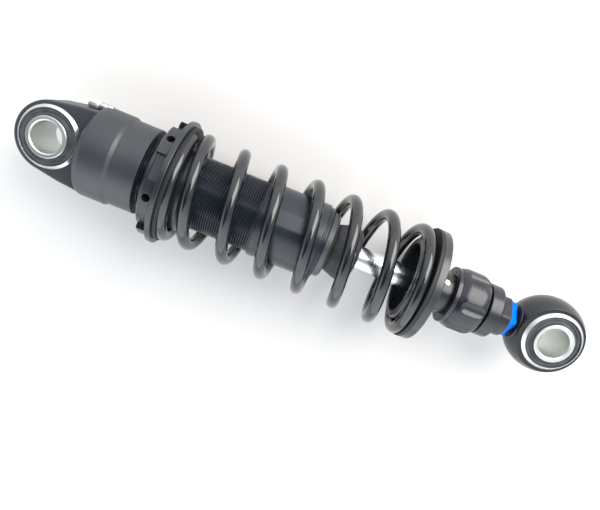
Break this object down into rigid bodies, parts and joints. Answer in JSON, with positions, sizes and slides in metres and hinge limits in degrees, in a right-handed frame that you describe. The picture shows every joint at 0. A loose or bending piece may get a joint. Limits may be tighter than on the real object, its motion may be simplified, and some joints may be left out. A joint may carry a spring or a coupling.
{
  "type": "rear shock absorber",
  "caption": "Gas-charged coil-over damper for a motorcycle rear suspension, with bushed eyes, threaded preload ring, rebound knob and length adjuster.",
  "frame": {"origin": "centre of the upper eye's bush", "axes": "+X along the damper from the upper eye to the lower eye; +Z along the axis of both bushes; +Y completes the right-handed frame, with the gas valve on its side"},
  "size_m": [0.3946, 0.0832, 0.0832],
  "materials": {
    "cap_black": "gloss black anodised",
    "eye_black": "gloss black",
    "body_black": "blue-black hard anodised",
    "seat_black": "satin black anodised",
    "spring_black": "gloss black powder coat",
    "washer_black": "satin",
    "adjuster_black": "black anodised",
    "bush_steel": "bright machined",
    "sleeve_zinc": "zinc plated",
    "bush_rubber": "matt",
    "valve_dark": "dark oxide",
    "valve_bright": "polished",
    "brass": "plain",
    "dark_trim": "satin",
    "seal_rubber": "matt",
    "stop_rubber": "satin foam rubber",
    "chrome": "mirror",
    "lock_blue": "blue anodised",
    "plain_steel": "machined",
    "alloy": "machined",
    "bronze": "sintered bronze",
    "seal_blue": "polyurethane",
    "ptfe": "filled PTFE"
  },
  "bodies": {
    "damper": {"upper_eye_cap": "cap_black", "upper_bush_shell": "bush_steel", "upper_bush_rubber": "bush_rubber", "gas_valve_body": "valve_dark", "gas_valve_core": "brass", "gas_valve_cap": "valve_bright", "damper_tube": "body_black", "cap_o_ring": "seal_rubber", "seal_head": "bronze", "guide_bush": "bronze", "rod_seal": "seal_blue", "seal_head_o_ring": "seal_rubber", "seal_head_circlip": "plain_steel", "dust_cap": "dark_trim", "rod_wiper": "seal_rubber", "bump_stop": "stop_rubber", "coil_spring": "spring_black"},
    "upper_sleeve": {"upper_bush_sleeve": "sleeve_zinc"},
    "gas_piston": {"floating_piston": "alloy", "floating_piston_o_ring": "seal_rubber"},
    "spring_seat": {"upper_spring_seat": "seat_black", "upper_spring_washer": "washer_black"},
    "adjuster_ring": {"preload_ring": "seat_black"},
    "rod": {"piston_rod": "chrome", "piston": "alloy", "piston_band": "ptfe", "compression_shims": "plain_steel", "rebound_shims": "plain_steel", "piston_nut": "plain_steel", "top_out_bumper": "seal_rubber", "lower_spring_washer": "washer_black", "lower_spring_seat": "seat_black", "seat_retainer": "adjuster_black", "retainer_screw": "brass", "knob_end_plate": "adjuster_black", "click_balls": "plain_steel", "click_springs": "plain_steel", "rod_end": "adjuster_black"},
    "knob": {"rebound_knob": "adjuster_black"},
    "needle": {"rebound_needle": "plain_steel", "needle_o_ring": "seal_rubber", "needle_cross_pin": "plain_steel"},
    "length_nut": {"lock_nut": "lock_blue"},
    "lower_end": {"lower_eye": "eye_black", "eye_stud": "plain_steel", "lower_bush_shell": "bush_steel", "lower_bush_rubber": "bush_rubber"},
    "lower_sleeve": {"lower_bush_sleeve": "sleeve_zinc"}
  },
  "joints": [
    {"name": "damper_stroke", "type": "slide", "parent": "damper", "child": "rod", "axis": [-1, 0, 0], "range_m": [0, 0.05], "stiffness_N_per_m": 23400, "springref_m": -0.008, "deforming": ["coil_spring", "bump_stop"]},
    {"name": "gas_piston_slide", "type": "slide", "parent": "damper", "child": "gas_piston", "axis": [-1, 0, 0], "range_m": [0, 0.009]},
    {"name": "preload_seat_slide", "type": "slide", "parent": "damper", "child": "spring_seat", "axis": [1, 0, 0], "range_m": [0, 0.0061]},
    {"name": "preload_ring_turn", "type": "hinge", "parent": "spring_seat", "child": "adjuster_ring", "pos_m": [0.074, 0, 0], "axis": [1, 0, 0], "range_deg": [0, 1440]},
    {"name": "rebound_knob_turn", "type": "hinge", "parent": "rod", "child": "knob", "pos_m": [0.287, 0, 0], "axis": [1, 0, 0], "range_deg": [-270, 270]},
    {"name": "rebound_needle_slide", "type": "slide", "parent": "rod", "child": "needle", "axis": [1, 0, 0], "range_m": [-0.0006, 0.0006]},
    {"name": "length_adjuster_turn", "type": "hinge", "parent": "rod", "child": "length_nut", "pos_m": [0.318, 0, 0], "axis": [1, 0, 0], "range_deg": [0, 1440]},
    {"name": "length_adjuster_extend", "type": "slide", "parent": "length_nut", "child": "lower_end", "axis": [1, 0, 0], "range_m": [0, 0.0061]},
    {"name": "upper_sleeve_twist", "type": "hinge", "parent": "damper", "child": "upper_sleeve", "pos_m": [0, 0, 0], "axis": [0, 0, 1], "range_deg": [-15, 15], "stiffness_Nm_per_rad": 5},
    {"name": "lower_sleeve_twist", "type": "hinge", "parent": "lower_end", "child": "lower_sleeve", "pos_m": [0.347, 0, 0], "axis": [0, 0, 1], "range_deg": [-15, 15], "stiffness_Nm_per_rad": 5}
  ],
  "couplings": [
    {"joint": "gas_piston_slide", "follows": "damper_stroke", "ratio": 0.1773},
    {"joint": "preload_seat_slide", "follows": "preload_ring_turn", "m_per_rad": 0.00023873},
    {"joint": "rebound_needle_slide", "follows": "rebound_knob_turn", "m_per_rad": 0.00011937},
    {"joint": "length_adjuster_extend", "follows": "length_adjuster_turn", "m_per_rad": 0.00023873}
  ]
}
